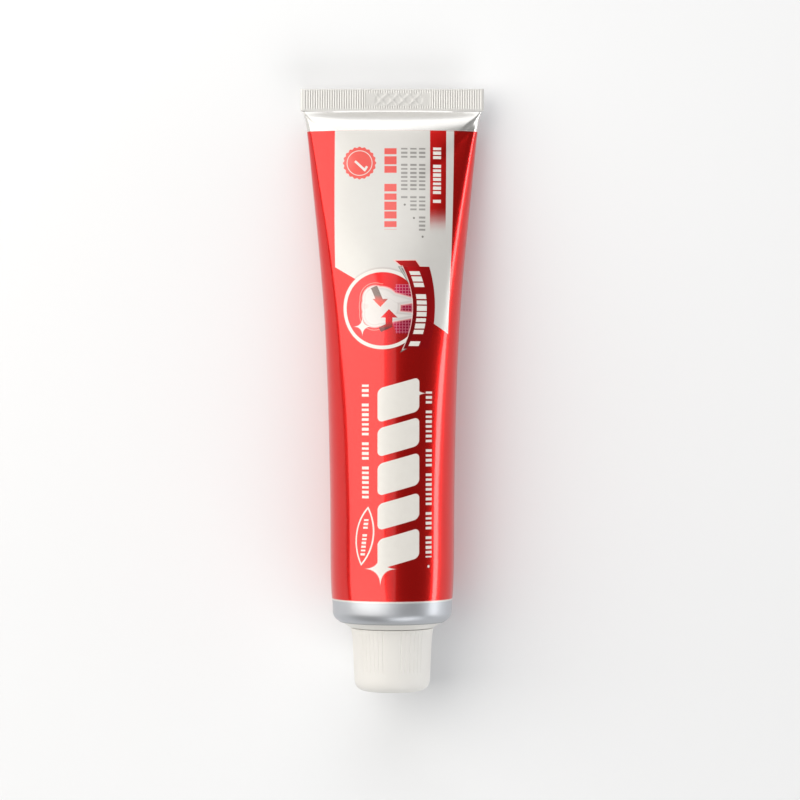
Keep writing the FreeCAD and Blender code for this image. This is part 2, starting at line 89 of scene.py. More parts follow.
RIM = TAIL - cap_high[1] - 0.18
CAP_END = TAIL - cap_low[1]
CAP_RIM_RADIUS = cap_high[0]
CAP_END_RADIUS = 10.93
CAP_WALL = 1.2
WAIST = RIM + 4.2                          # the skirt flares from here to the rim
WAIST_RADIUS = 11.6
PLATE = CAP_END - 1.5                      # inner face of the cap's end
COLLAR_BORE = 7.0
COLLAR_START = RIM + 2.8
SEAL_RADIUS = 5.0
GROOVE_END = RIM + 12.7
GROOVE_DEPTH = 0.13

# the print, on the flattened sheet: across from the label's middle line, along from the tail's edge
PRINT_LATE = 0.65                          # at the tail the print lies this much further in
PRINT_LEVEL = 90.0                         # and here it has caught up
RED_START = 12.3
RED_END = 150.6


# ------------------------------------------------------------------ the sleeve's shape
def half_width(distance):
    """Half width of the sleeve at a distance from the crimp: the round radius, plus a stretched exponential
    and a short one that die away from the crimp, plus a slight bulge, all closing on the round end."""
    long_taper = 7.293 * np.exp(-((distance / 52.0) ** 1.566))
    short_taper = 1.16 * np.exp(-distance / 4.26)
    bulge = 0.572
    closing = 1 - np.exp(-(TAPER_END - CRIMP_LENGTH - distance) / 4.0)
    return RADIUS + (bulge + long_taper + short_taper) * closing


def ovals(distance):
    """Four-arc ovals of one constant girth, one for each distance from the crimp.

    The broad arcs' half angle follows from how full the section is, and the side radius from the girth. The
    middle lies half a height above the table, less the settling, and eases up to the crimp's height by a
    softplus. Returns half width, side radius, broad radius, half angle and height, as arrays."""
    quarter = GIRTH / 4
    width = half_width(distance)
    fullness = (quarter - width) / (quarter - RADIUS)
    angle = 0.1 + 0.6 * fullness + 0.5 * fullness ** 6
    bow = np.sin(angle)
    side = (bow * quarter - width * angle) / (bow * math.pi / 2 - angle)
    pressed = 1 - 0.9 * np.exp(-((distance / 1.9) ** 1.6))
    side = side * pressed
    angle = angle * pressed
    broad = side + (width - side) / np.sin(angle)
    height = broad - (broad - side) * np.cos(angle)
    settled = 0.4 * (1 - np.exp((distance + CRIMP_LENGTH - TAPER_END) / 5.0))
    resting = height - settled
    lift = 1.2 * np.log(1 + np.exp((CRIMP_HEIGHT - resting) / 1.2))
    return width, side, broad, angle, resting + lift


def rings(width, side, broad, angle, middle, place, columns):
    """Closed rings round the tube, one for each place along it.

    A point's arc length from the crown picks its arc: on the broad arc it turns about the broad centre, past
    it about the side centre. The lower half mirrors the upper. Columns run from the seam underneath, up the
    left side, over the crown and down the right side. Returns points and the unit outward directions."""
    width, side, broad, angle, middle, place = [
        value[:, None] for value in (width, side, broad, angle, middle, place)]
    turn = np.arange(columns) / columns * 2 - 1
    quarter = broad * angle + side * (math.pi / 2 - angle)
    along = np.abs(turn)[None, :] * 2 * quarter
    lower = along > quarter
    along = np.where(lower, 2 * quarter - along, along)
    on_broad = along < broad * angle
    lean = np.where(on_broad, along / broad, angle + (along - broad * angle) / side)
    radius = np.where(on_broad, broad, side)
    height = broad - (broad - side) * np.cos(angle)
    centre_x = np.where(on_broad, 0.0, width - side)
    centre_z = np.where(on_broad, height - broad, 0.0)
    sign = np.where(turn < 0, -1.0, 1.0)[None, :]
    x = (centre_x + radius * np.sin(lean)) * sign
    z = (centre_z + radius * np.cos(lean)) * np.where(lower, -1.0, 1.0) + middle
    y = TAIL - place + 0 * x
    out = np.stack([np.sin(lean) * sign, 0 * x, np.cos(lean) * np.where(lower, -1.0, 1.0)], axis=-1)
    return np.stack([x, y, z], axis=-1), out


def circle_rows(radius, place):
    """The same section values for round rings about the tube's axis. Both arcs have the one radius, so the
    half angle at which they meet is free."""
    return radius, radius, radius, np.full(len(radius), 1.2), np.full(len(radius), RADIUS), place


def join_rows(*groups):
    """Section values of several stretches, end to end."""
    return [np.concatenate(values) for values in zip(*groups)]


def rolled_end(shift, count=9):
    """Radius and place along the rolled end: an arc that turns in from the round sleeve onto the cone, then
    the cone to the lip. shift moves the whole line in by that much, along its normal."""
    turn = np.linspace(0, math.pi / 2 - CONE, count)
    centre = RADIUS - ROLL_RADIUS
    roll = ROLL_RADIUS - shift
    radius = centre + roll * np.cos(turn)
    place = ROLL_START + roll * np.sin(turn)
    tangent = centre + ROLL_RADIUS * math.sin(CONE)
    level = ROLL_START + ROLL_RADIUS * math.cos(CONE) + (tangent - LIP_RADIUS) * math.tan(CONE)
    lip_radius = LIP_RADIUS - shift * math.sin(CONE)
    lip_level = level - shift * math.cos(CONE)
    return np.append(radius, lip_radius), np.append(place, lip_level)


# ------------------------------------------------------------------ meshes
def grid_faces(rows, columns):
    """Quads over a grid of rows and columns, the last column joined to the first."""
    row, column = np.meshgrid(np.arange(rows - 1), np.arange(columns), indexing="ij")
    row = row.ravel()
    column = column.ravel()
    following = (column + 1) % columns
    return np.stack([row * columns + column, row * columns + following,
                     (row + 1) * columns + following, (row + 1) * columns + column], axis=1)


def make_piece(name, points, faces, body, nodes, sheet=None, sharp=35.0):
    """A mesh from points in mm and quads. Doubled points along seams and poles are merged, faces are turned
    outwards, and sheet, one pair for each face corner, becomes the UV map of the flattened sheet."""
    mesh = bpy.data.meshes.new(name)
    mesh.from_pydata((points * MM).tolist(), [], faces.tolist())
    if sheet is not None:
        layer = mesh.uv_layers.new(name="sheet")
        layer.uv.foreach_set("vector", sheet.astype(np.float32).ravel())
    work = bmesh.new()
    work.from_mesh(mesh)
    bmesh.ops.remove_doubles(work, verts=work.verts, dist=1e-7)
    bmesh.ops.recalc_face_normals(work, faces=work.faces)
    work.to_mesh(mesh)
    work.free()
    mesh.shade_smooth()
    mesh.set_sharp_from_angle(angle=math.radians(sharp))
    piece = bpy.data.objects.new(name, mesh)
    bpy.context.scene.collection.objects.link(piece)
    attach(piece, body)
    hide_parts(*nodes)
    return piece


# ------------------------------------------------------------------ the four pieces
def bump_field(x, along):
    """Small soft dents of a full laminate tube: slow crossed sine waves, a few hundredths of a millimetre
    high, and two shallow bell-shaped dents close to the crimp."""
    waves = np.sin(along / 9.0 + 0.4) * np.sin(x / 7.0 + 1.0)
    waves += 0.6 * np.sin(along / 17.0 - x / 11.0 + 2.0) + 0.35 * np.sin(along / 4.6 + x / 5.0)
    dents = np.exp(-((x + 4.3) / 1.3) ** 2 - ((along - 9.8) / 1.5) ** 2)
    dents += np.exp(-((x - 2.5) / 1.5) ** 2 - ((along - 9.6) / 1.6) ** 2)
    return waves * 0.035 - dents * 0.16


def corner_flanks(points, out):
    """How far the two upper flanks beside the crimp's corners sink: a smooth ramp outwards from a line that
    runs from each corner of the crimp in towards the middle. It grows over the first 4 mm, dies away down the
    tube by an exponential and at the sides with the surface's upward share, and is deeper on the right."""
    along = TAIL - points[:, :, 1]
    start = CRIMP_HALF - 1.2 - 0.95 * (along - CRIMP_LENGTH)
    ramp = np.clip((np.abs(points[:, :, 0]) - start) / 3.2, 0, 1)
    ramp = ramp * ramp * (3 - 2 * ramp)
    strength = np.clip((along - CRIMP_LENGTH) / 4.0, 0, 1) * np.exp(-np.maximum(along - 12.5, 0) / 7.0)
    depth = np.where(points[:, :, 0] > 0, 0.85, 0.15)
    return depth * ramp * strength * np.maximum(out[:, :, 2], 0)


def crimp_relief(x, along, column):
    """Height of the pressed pattern on the tail: ribs two columns wide with one column of groove between, a
    middle panel with short ticks at both edges and a diamond trellis between them, and plain margins.

    The lower face counts its columns as the upper face does, so the ribs of both faces are in step."""
    quarter = column.size // 4
    above = np.where(column < quarter, 2 * quarter - column, column)
    above = np.where(column > 3 * quarter, 6 * quarter - column, above)
    rib = np.where(above % 3 == 0, -1.0, 0.5)
    band = (1 + np.tanh((along - 0.3) / 0.12)) * (1 + np.tanh((CRIMP_LENGTH - 0.5 - along) / 0.12)) / 4
    panel = (x > -8.0) & (x < 11.4)
    ticks = (along < 1.5) | ((along > CRIMP_LENGTH - 1.5) & (along < CRIMP_LENGTH - 0.4))
    trellis = np.abs(np.sin(math.pi * (x + along) / 3.3)) * np.abs(np.sin(math.pi * (x - along) / 3.3))
    middle = np.where((x > -5.0) & (x < 9.0), 0.5 - np.clip(2.5 * trellis, 0, 1), 0.0)
    margin = np.abs(x) < CRIMP_HALF - 1.0
    inside = np.where(ticks, rib * 0.7, middle)
    return RELIEF * band * np.where(panel, inside, rib) * margin


def make_sleeve():
    """The laminate as one closed skin: tail edge, crimp, tapering run of ovals, rolled end, lip, and back
    inside by the same sections less the wall, to a closing line in the crimp. Relief, dents and flanks are
    added to the rows, and nothing goes below the table. The UV map is arc length across, and place along."""
    columns = 460
    tail = np.array([0.0, 0.0, 0.1])
    crimp = np.concatenate([tail, np.arange(0.4, CRIMP_LENGTH - 0.1, 0.29), [CRIMP_LENGTH]])
    thickness = np.full(crimp.shape, CRIMP_HALF_THICKNESS)
    thickness[0] = 0.02
    thickness[1] = CRIMP_HALF_THICKNESS - 0.08
    flat = 0.001 + 0 * crimp
    crimp_rows = (CRIMP_HALF + 0 * crimp, thickness, thickness + (CRIMP_HALF - thickness) / np.sin(flat),
                  flat, CRIMP_HEIGHT + 0 * crimp, crimp)

    run = TAPER_END - CRIMP_LENGTH
    near = np.arange(0.35, 10.0, 0.35)
    far = 10.0 + (run - 10.0) * np.linspace(0, 1, 92)
    distance = np.concatenate([near, far])
    run_rows = ovals(distance) + (CRIMP_LENGTH + distance,)

    out_radius, out_place = rolled_end(0.0)
    end_rows = circle_rows(out_radius, out_place)
    in_radius, in_place = rolled_end(WALL)
    back_rows = circle_rows(in_radius[::-1], in_place[::-1])

    back = run * np.linspace(1, 0, 44) ** 1.7
    back = np.maximum(back, 1.6)[:-1]
    width, side, broad, angle, middle = ovals(back)
    back_run = (width - WALL, side - WALL, broad - WALL, angle, middle, CRIMP_LENGTH + back)

    rows = join_rows(crimp_rows, run_rows, end_rows, back_rows, back_run)
    points, out = rings(*rows, columns)
    count_crimp = len(crimp)
    count_outer = count_crimp + len(distance) + len(out_radius)

    # relief of the crimp, in step on both faces, and the soft dents of the run
    column = np.arange(columns)[None, :]
    x = points[:, :, 0]
    along = TAIL - points[:, :, 1]
    points[:count_crimp, :, 2] += crimp_relief(x[:count_crimp], along[:count_crimp], column)
    soft = slice(count_crimp, count_outer)
    fade = 1 - np.exp(-(along[soft] - CRIMP_LENGTH) / 6.0)
    fade = fade * np.clip((TAPER_END - 1 - along[soft]) / 10.0, 0, 1)
    points[soft] += (bump_field(x[soft], along[soft]) * fade)[:, :, None] * out[soft]
    points[:, :, 2] -= corner_flanks(points, out)
    points[:count_outer, :, 2] = np.maximum(points[:count_outer, :, 2], 0.0)
    points[count_outer:, :, 2] = np.maximum(points[count_outer:, :, 2], WALL)

    # the inner end closes on its own middle line
    last = points[-1].copy()
    last[:, 2] = CRIMP_HEIGHT
    points = np.concatenate([points, last[None]])

    faces = grid_faces(len(points), columns)
    across = (np.arange(columns + 1) / columns - 0.5) * GIRTH
    place = np.append(rows[5], rows[5][-1])
    place = place - PRINT_LATE * np.clip(1 - place / PRINT_LEVEL, 0, 1)
    row = faces[:, 0] // columns
    column = faces[:, 0] % columns
    corner_rows = np.stack([row, row, row + 1, row + 1], axis=1)
    corner_columns = np.stack([column, column + 1, column + 1, column], axis=1)
    sheet = np.stack([across[corner_columns], place[corner_rows]], axis=-1)
    # the inside is bare, so its faces take one place on the tail, and the faces round the lip the lip's own
    sheet[row >= count_outer] = (0.0, 5.0)
    sheet[row == count_outer - 1] = (0.0, LIP)
    return make_piece("sleeve", points.reshape(-1, 3), faces, "tube",
                      ["tube_sleeve"], sheet)


def turned(radius, place, angles):
    """Rings about the tube's axis: each row has one place along it, and a radius for each angle."""
    x = radius * np.sin(angles)[None, :]
    z = RADIUS + radius * np.cos(angles)[None, :]
    y = TAIL - place[:, None] + 0 * x
    return np.stack([x, y, z], axis=-1)


def fine_line(corners, step, rounds):
    """Points along a profile of straight runs, no further apart than step. A corner named in rounds is cut
    back by that much on both sides and bridged by a quadratic curve. Returns the radii and the places."""
    corners = np.array(corners, float)
    path = []
    for index, corner in enumerate(corners):
        if index in rounds:
            cut = rounds[index]
            back = corners[index - 1] - corner
            ahead = corners[index + 1] - corner
            first = corner + back / np.linalg.norm(back) * cut
            last = corner + ahead / np.linalg.norm(ahead) * cut
            blend = np.linspace(0, 1, 7)[:, None]
            path.extend((1 - blend) ** 2 * first + 2 * blend * (1 - blend) * corner + blend ** 2 * last)
        else:
            path.append(corner)
    path = np.array(path)
    run = np.diff(path, axis=0)
    parts = np.maximum(np.ceil(np.linalg.norm(run, axis=1) / step), 1).astype(int)
    stretch = np.repeat(np.arange(len(parts)), parts)
    part = np.arange(len(stretch)) - (np.cumsum(parts) - parts)[stretch] + 1
    line = path[stretch] + run[stretch] * (part / parts[stretch])[:, None]
    return np.vstack([path[:1], line]).T


def thread_ridge(place, angles, start, end):
    """How far a single-start thread stands proud, from 0 to 1: a trapezoid wave of the distance to the
    helix, faded in and out over a part of a turn at its two ends."""
    climb = angles[None, :] / TAU * THREAD_PITCH
    phase = (place[:, None] - climb) / THREAD_PITCH
    offset = np.abs(phase - np.round(phase)) * THREAD_PITCH
    ridge = np.clip((THREAD_HALF - offset) / (THREAD_HALF * 0.45), 0, 1)
    centre = np.round(phase) * THREAD_PITCH + climb
    fade = THREAD_PITCH * THREAD_FADE
    return ridge * np.clip((centre - start) / fade, 0, 1) * np.clip((end - centre) / fade, 0, 1)


def roof_place(inner, start):
    """Where the shoulder's inside, sloping half as steeply as the cone, meets the neck's radius."""
    return start + (inner - NECK_RADIUS) * math.tan(CONE) * 0.5


def make_shoulder():
    """The moulded head, one profile turned about the axis: skirt, roll and cone under the sleeve, ledge, neck
    with its thread added to the radius, mouth, bore and inside."""
    columns = 144
    cone_radius, cone_place = rolled_end(WALL)
    inner = RADIUS - WALL - SHOULDER_WALL
    roof = roof_place(inner, CAVITY)
    corners = [(inner, TAPER_END), (RADIUS - WALL, TAPER_END), *zip(cone_radius[:-1], cone_place[:-1])]
    ledge = len(corners)
    corners += [(LEDGE_RADIUS, LEDGE), (NECK_RADIUS, LEDGE), (NECK_RADIUS, MOUTH), (BORE_RADIUS, MOUTH),
                (BORE_RADIUS, roof), (NECK_RADIUS, roof), (inner, CAVITY), (inner, TAPER_END)]
    radius, place = fine_line(corners, 0.16, {ledge: 0.35, ledge + 1: 0.5, ledge + 2: 0.4, ledge + 3: 0.3})
    angles = np.arange(columns) / columns * TAU
    ridge = thread_ridge(place, angles, LEDGE + 2.2, MOUTH - 1.2)
    on_neck = (np.abs(radius - NECK_RADIUS) < 0.02) & (place > LEDGE + 0.4)
    points = turned(radius[:, None] + THREAD_RISE * ridge * on_neck[:, None], place, angles)
    faces = grid_faces(len(points), columns)
    return make_piece("shoulder", points.reshape(-1, 3), faces, "tube", ["tube_shoulder"])


def make_paste():
    """The filling: the sleeve's sections less the wall and a little slack, from the crimp to the round end,
    then the shoulder's inside and a rounded stub in the foot of the bore, closed at both ends."""
    columns = 160
    gap = 0.05
    run = TAPER_END - CRIMP_LENGTH
    distance = 1.7 + (run - 1.7) * np.linspace(0, 1, 60) ** 1.6
    width, side, broad, angle, middle = ovals(distance)
    slack = WALL + gap
    run_rows = (width - slack, side - slack, broad - slack, angle, middle, CRIMP_LENGTH + distance)
    inner = RADIUS - WALL - SHOULDER_WALL - gap
    cavity = CAVITY - gap
    roof = roof_place(inner, cavity)
    radii = np.array([inner, inner, NECK_RADIUS, BORE_RADIUS - gap, BORE_RADIUS - gap, 3.4, 2.0, 0.001])
    places = np.array([TAPER_END, cavity, roof, roof, FILL_TOP - 0.5, FILL_TOP - 0.1, FILL_TOP, FILL_TOP])
    rows = join_rows(run_rows, circle_rows(radii, places))
    points, out = rings(*rows, columns)
    points[:, :, 2] -= corner_flanks(points, out)
    points[:, :, 2] = np.maximum(points[:, :, 2], slack)
    first = points[0].copy()
    first[:, 2] = CRIMP_HEIGHT
    points = np.concatenate([first[None], points])
    points[-1] = points[-1].mean(axis=0)
    faces = grid_faces(len(points), columns)
    return make_piece("paste", points.reshape(-1, 3), faces, "tube", ["toothpaste"], sharp=60.0)


def grip_angles():
    """The groove centres, six groups of six with wide lands between, and the angles of the cap's columns,
    crowded round each groove."""
    middles = np.radians(60.0 * np.arange(6) + 30.0)
    steps = np.radians(6.8 * (np.arange(6) - 2.5))
    centres = (middles[:, None] + steps[None, :]).ravel()
    local = np.radians([-1.3, -0.8, -0.45, -0.15, 0.15, 0.45, 0.8, 1.3, 2.3, 3.4, 4.5])
    crowded = centres[:, None] + local[None, :]
    lands = np.radians(60.0 * np.arange(6)[:, None] + np.array([-9.0, -5.0, -1.0, 3.0, 7.0, 10.5])[None, :])
    angles = np.concatenate([crowded.ravel(), lands.ravel()]) % TAU
    return centres, np.unique(np.round(np.sort(angles), 5))


def cap_profile():
    """Radii and places round the cap's section, from the boss over collar, plate and skirt to the end. The
    skirt's flare is a square law from the waist to the rim, and the outer edge is well rounded."""
    seal = MOUTH + 0.3
    rise = np.linspace(1, 0, 12)
    drop = WAIST - RIM
    waist_taper = (WAIST_RADIUS - CAP_END_RADIUS) / (CAP_END - WAIST) * drop
    flare = WAIST_RADIUS + waist_taper * rise + (CAP_RIM_RADIUS - WAIST_RADIUS - waist_taper) * rise ** 2
    corners = [(0.0, seal), (SEAL_RADIUS, seal), (SEAL_RADIUS, PLATE), (COLLAR_BORE, PLATE),
               (COLLAR_BORE, COLLAR_START), (COLLAR_BORE + CAP_WALL, COLLAR_START),
               (COLLAR_BORE + CAP_WALL, PLATE), (CAP_END_RADIUS - CAP_WALL, PLATE),
               (WAIST_RADIUS - CAP_WALL, WAIST), (CAP_RIM_RADIUS - CAP_WALL, RIM)]
    rim = len(corners)
    corners += [*zip(flare, WAIST - drop * rise), (CAP_END_RADIUS, CAP_END), (0.0, CAP_END)]
    rounds = {1: 0.4, 2: 0.3, 3: 0.3, 4: 0.3, 5: 0.3, 6: 0.3, 7: 0.4, rim - 1: 0.25, rim: 0.25,
              len(corners) - 2: 3.5}
    return fine_line(corners, 0.55, rounds)


def make_cap():
    """The screw cap, one closed profile turned about the axis. Each groove is a power of one minus the square
    of the angle from its centre, sunk into the skirt and faded out below the plain band. The thread is
    raised inwards from the collar's bore."""
    radius, place = cap_profile()
    centres, angles = grip_angles()
    gap = angles[None, :] - centres[:, None]
    gap = np.abs((gap + math.pi) % TAU - math.pi).min(axis=0)
    notch = np.clip(1 - (gap / math.radians(1.0)) ** 2, 0, 1) ** 1.5
    skirt = np.interp(place, [RIM, WAIST, CAP_END], [CAP_RIM_RADIUS, WAIST_RADIUS, CAP_END_RADIUS])
    depth = GROOVE_DEPTH * np.clip((GROOVE_END - place) / 0.35, 0, 1) * (radius > skirt - 0.6)
    ridge = thread_ridge(place + THREAD_PITCH / 2, angles, COLLAR_START + 2.4, PLATE - 1.0)
    on_collar = np.abs(radius - COLLAR_BORE) < 0.02
    grown = radius[:, None] - depth[:, None] * notch[None, :] - THREAD_RISE * ridge * on_collar[:, None]
    points = turned(grown, place, angles)
    faces = grid_faces(len(points), len(angles))
    return make_piece("screw_cap", points.reshape(-1, 3), faces, "cap", ["cap"], sharp=50.0)


# ------------------------------------------------------------------ materials
GOLDEN = 0.618034                          # the golden ratio's fraction, whose multiples never settle down


class Value:
    """A socket of a finish's node tree. Arithmetic on values adds Math nodes."""

    def __init__(self, finish, link):
        self.finish = finish
        self.link = link

    def __add__(self, other):
        return self.finish.math("ADD", self, other)

    __radd__ = __add__

    def __sub__(self, other):
        return self.finish.math("SUBTRACT", self, other)

    def __rsub__(self, other):
        return self.finish.math("SUBTRACT", other, self)

    def __mul__(self, other):
        return self.finish.math("MULTIPLY", self, other)

    __rmul__ = __mul__

    def __abs__(self):
        return self.finish.math("ABSOLUTE", self)


class Finish:
    """A material under construction: one principled shader and the nodes that feed it."""

    def __init__(self, name, **constants):
        self.material = bpy.data.materials.new(name)
        self.material.use_nodes = True
        self.tree = self.material.node_tree
        self.shader = self.tree.nodes["Principled BSDF"]
        for socket, value in constants.items():
            self.shader.inputs[socket.replace("_", " ")].default_value = value

    def node(self, kind, settings=None, inputs=None, output=0):
        """One new node: its settings first, then its sockets. Returns one of its outputs as a value."""
        made = self.tree.nodes.new(kind)
        for name, value in (settings or {}).items():
            setattr(made, name, value)
        for key, value in (inputs or {}).items():
            self.join(value, made.inputs[key])
        return Value(self, made.outputs[output])

    def join(self, value, socket):
        """Links a value to a socket, or sets the socket to a number or a colour."""
        if isinstance(value, Value):
            self.tree.links.new(value.link, socket)
        elif isinstance(value, tuple) and len(value) == 3 and socket.type == "RGBA":
            socket.default_value = (*value, 1)
        else:
            socket.default_value = value

    def math(self, operation, *values, clamp=False):
        """A Math node on values and numbers."""
        settings = {"operation": operation, "use_clamp": clamp}
        return self.node("ShaderNodeMath", settings, dict(enumerate(values)))

    def mix(self, mask, under, over):
        """The colour under, covered by the colour over where mask is 1."""
        inputs = {0: mask, 6: under, 7: over}
        return self.node("ShaderNodeMix", {"data_type": "RGBA"}, inputs, 2)

    def noise(self, scale, detail):
        """A cloudy pattern of about 0 to 1, with scale features to the metre."""
        place = self.node("ShaderNodeTexCoord", None, None, "Object")
        return self.node("ShaderNodeTexNoise", None, {"Vector": place, "Scale": scale, "Detail": detail})

    def feed(self, **sockets):
        """Feeds the shader's sockets, named with an underscore for each space."""
        for name, value in sockets.items():
            self.join(value, self.shader.inputs[name.replace("_", " ")])

    def relief(self, height, strength, distance):
        """Tilts the shading as if the surface had this height."""
        inputs = {"Height": height, "Strength": strength, "Distance": distance}
        self.feed(Normal=self.node("ShaderNodeBump", None, inputs))


def linear(red, green, blue):
    """A colour given as it looks on a screen, 0 to 255, as linear light."""
    return tuple(((part / 255 + 0.055) / 1.055) ** 2.4 if part > 10 else part / 255 / 12.92
                 for part in (red, green, blue))


class Print:
    """The printed sheet: its colour so far, and shapes on it. Each shape is a signed distance in mm, below 0
    inside it."""

    def __init__(self, finish, ground):
        self.finish = finish
        self.colour = ground
        sheet = finish.node("ShaderNodeUVMap", {"uv_map": "sheet"})
        self.across = finish.node("ShaderNodeSeparateXYZ", None, {0: sheet}, 0)
        self.along = finish.node("ShaderNodeSeparateXYZ", None, {0: sheet}, 1)

    def lay(self, mask, colour):
        """Covers the print so far with a colour where mask is 1."""
        self.colour = self.finish.mix(mask, self.colour, colour)

    def ink(self, distance, soft=0.12):
        """1 inside the shape, 0 outside, with a printed edge soft millimetres wide."""
        return self.finish.math("MULTIPLY_ADD", distance, -1 / soft, 0.5, clamp=True)

    def highest(self, *distances):
        """Where all the shapes overlap."""
        result = distances[0]
        for distance in distances[1:]:
            result = self.finish.math("MAXIMUM", result, distance)
        return result

    def lowest(self, *distances):
        """Where any of the shapes is."""
        result = distances[0]
        for distance in distances[1:]:
            result = self.finish.math("MINIMUM", result, distance)
        return result

    def fraction(self, value):
        """What is left of a value above its whole number."""
        return self.finish.math("FRACT", value)

    def band(self, start, end):
        """All the way round, between two places along."""
        return abs(self.along - (start + end) / 2) - (end - start) / 2

    def box(self, left, right, start, end, u=None):
        """A rectangle between two places across and two along."""
        u = self.across if u is None else u
        return self.highest(abs(u - (left + right) / 2) - (right - left) / 2, self.band(start, end))

    def reach(self, u, v, stretch=1.0):
        """Distance from a point, where the way along counts less by the stretch."""
        du = self.across - u
        dv = (self.along - v) * (1 / stretch)
        return self.finish.math("SQRT", du * du + dv * dv)

    def disc(self, u, v, radius, stretch=1.0):
        """A disc, or an ellipse stretched along the tube."""
        return self.reach(u, v, stretch) - radius

    def line_side(self, first, last):
        """Distance from the line through two points; points to the right of the way from first to last are
        inside, with the along direction pointing down."""
        run = math.dist(first, last)
        normal = ((last[1] - first[1]) / run, -(last[0] - first[0]) / run)
        offset = normal[0] * first[0] + normal[1] * first[1]
        return self.across * normal[0] + self.along * normal[1] - offset

    def convex(self, *corners):
        """A convex outline, its corners in turn clockwise as the label is seen."""
        return self.highest(*[self.line_side(first, last)
                              for first, last in zip(corners, corners[1:] + corners[:1])])

    def stroke(self, first, last, half):
        """A straight stroke with square ends, half its width to each side."""
        run = math.dist(first, last)
        way = ((last[0] - first[0]) / run, (last[1] - first[1]) / run)
        du = self.across - (first[0] + last[0]) / 2
        dv = self.along - (first[1] + last[1]) / 2
        lengthwise = abs(du * way[0] + dv * way[1]) - run / 2
        sideways = abs(du * -way[1] + dv * way[0]) - half
        return self.highest(lengthwise, sideways)

    def sparkle(self, u, v, size):
        """A four-pointed star: the sum of the square roots of both distances stays below a limit."""
        root_u = self.finish.math("SQRT", abs(self.across - u))
        root_v = self.finish.math("SQRT", abs(self.along - v))
        return (root_u + root_v - math.sqrt(size)) * 1.2

    def blocks(self, low, high, start, end, pitch, fill, gap_every=0.15, u=None):
        """A column of small plain blocks that stands for a line of text: equal steps along the tube, each
        block's length varied, and one left out where a golden-ratio sequence falls below a share."""
        steps = (self.along - start) * (1 / pitch)
        number = self.finish.math("FLOOR", steps)
        chance = self.fraction(number * GOLDEN + 0.21)
        half = chance * (fill * 0.22) + fill * 0.36
        within = (abs(self.fraction(steps) - 0.5) - half) * pitch
        missing = self.finish.math("LESS_THAN", chance, gap_every) * 4.0
        return self.highest(self.box(low, high, start, end, u), within) + missing


RED = linear(212, 15, 9)
SALMON = linear(218, 78, 70)
PEARL = linear(205, 203, 199)
SILVER = linear(211, 210, 207)
WHITE = linear(221, 218, 212)
GREY = linear(128, 126, 122)


def print_label(sheet):
    """The pearl label, four sides with a slanted lower one, and its red strip, which fades out in dots: two
    crossed sine waves added to a ramp. Returns the label's mask."""
    finish = sheet.finish
    u = sheet.across
    v = sheet.along
    foot_left = (-17.5, 53.3)
    foot_right = (18.0, 73.1)
    left = sheet.line_side(foot_left, (-17.0, RED_START - 1))
    right = sheet.line_side((18.4, RED_START), foot_right)
    slant = sheet.line_side(foot_right, foot_left)
    label = sheet.ink(sheet.highest(left, right, slant, RED_START - v))
    sheet.lay(label, PEARL)

    dots = finish.math("SINE", (u + v) * 9.0) * finish.math("SINE", (u - v) * 9.0)
    fading = (42.0 - v) * (1 / 8.0) + dots * 0.25
    strip = sheet.ink(sheet.box(11.2, 16.05, RED_START, 43.5))
    sheet.lay(strip * finish.math("MULTIPLY", fading, 1.6, clamp=True), RED)
    sheet.lay(sheet.ink(sheet.blocks(12.1, 14.5, 17.2, 34.3, 1.32, 0.72)), WHITE)
    return label


def print_heading(sheet):
    """The heading, and three columns of small print with a bullet each. Returns the heading's distance."""
    start = 17.3
    heading = sheet.blocks(-2.3, 1.3, start, 42.3, 2.75, 0.82, 0.12)
    sheet.lay(sheet.ink(heading), SALMON)
    for low, end in ((2.6, 33.4), (5.3, 37.4), (7.9, 43.0)):
        sheet.lay(sheet.ink(sheet.blocks(low, low + 1.9, start, end, 1.22, 0.5)) * 0.75, GREY)
        sheet.lay(sheet.ink(sheet.disc(low + 1.1, end + 1.4, 0.32)), GREY)
    return heading


def print_rosette(sheet):
    """The scalloped rosette, a disc whose radius waves by the cosine of twenty times the angle, with a ring
    and a tick. Returns the rosette's distance."""
    centre_u = -9.65
    centre_v = 22.2
    reach = sheet.reach(centre_u, centre_v)
    turn = sheet.finish.math("ARCTAN2", sheet.along - centre_v, sheet.across - centre_u)
    rosette = reach - sheet.finish.math("COSINE", turn * 20.0) * 0.17 - 4.8
    sheet.lay(sheet.ink(rosette), SALMON)
    sheet.lay(sheet.ink(abs(reach - 3.72) - 0.1), WHITE)
    tick = sheet.lowest(sheet.stroke((-8.0, 24.4), (-11.0, 21.6), 0.34),
                        sheet.stroke((-8.3, 24.6), (-7.4, 23.2), 0.34))
    sheet.lay(sheet.ink(tick), WHITE)
    return rosette


def print_badge(sheet):
    """The round badge: soft dark edge, white ring and red ground, with a gum patterned by crossed lines. The
    gum's edge is a shallow wedge. Returns the mask of the badge's inside."""
    finish = sheet.finish
    ink = sheet.ink
    u = sheet.across
    v = sheet.along
    middle = 65.8
    badge = sheet.reach(-2.8, middle, 0.975)
    sheet.lay(ink(badge - 12.45, 0.8) * 0.35, linear(120, 40, 40))
    sheet.lay(ink(badge - 12.15), WHITE)
    sheet.lay(ink(badge - 11.1), linear(214, 34, 36))
    inside = ink(badge - 11.0)

    off_middle = abs(v - middle)
    gum = ink(sheet.highest(off_middle * 0.3 - 1.0 - u, off_middle - 7.2), 0.3) * inside
    lines = sheet.lowest(abs(sheet.fraction(u * 1.15) - 0.5), abs(sheet.fraction(v * 1.15) - 0.5))
    plaid = finish.math("MULTIPLY_ADD", lines, -8.0, 1.3, clamp=True)
    sheet.lay(gum, linear(206, 14, 74))
    sheet.lay(gum * plaid * 0.5, linear(246, 170, 190))
    return inside


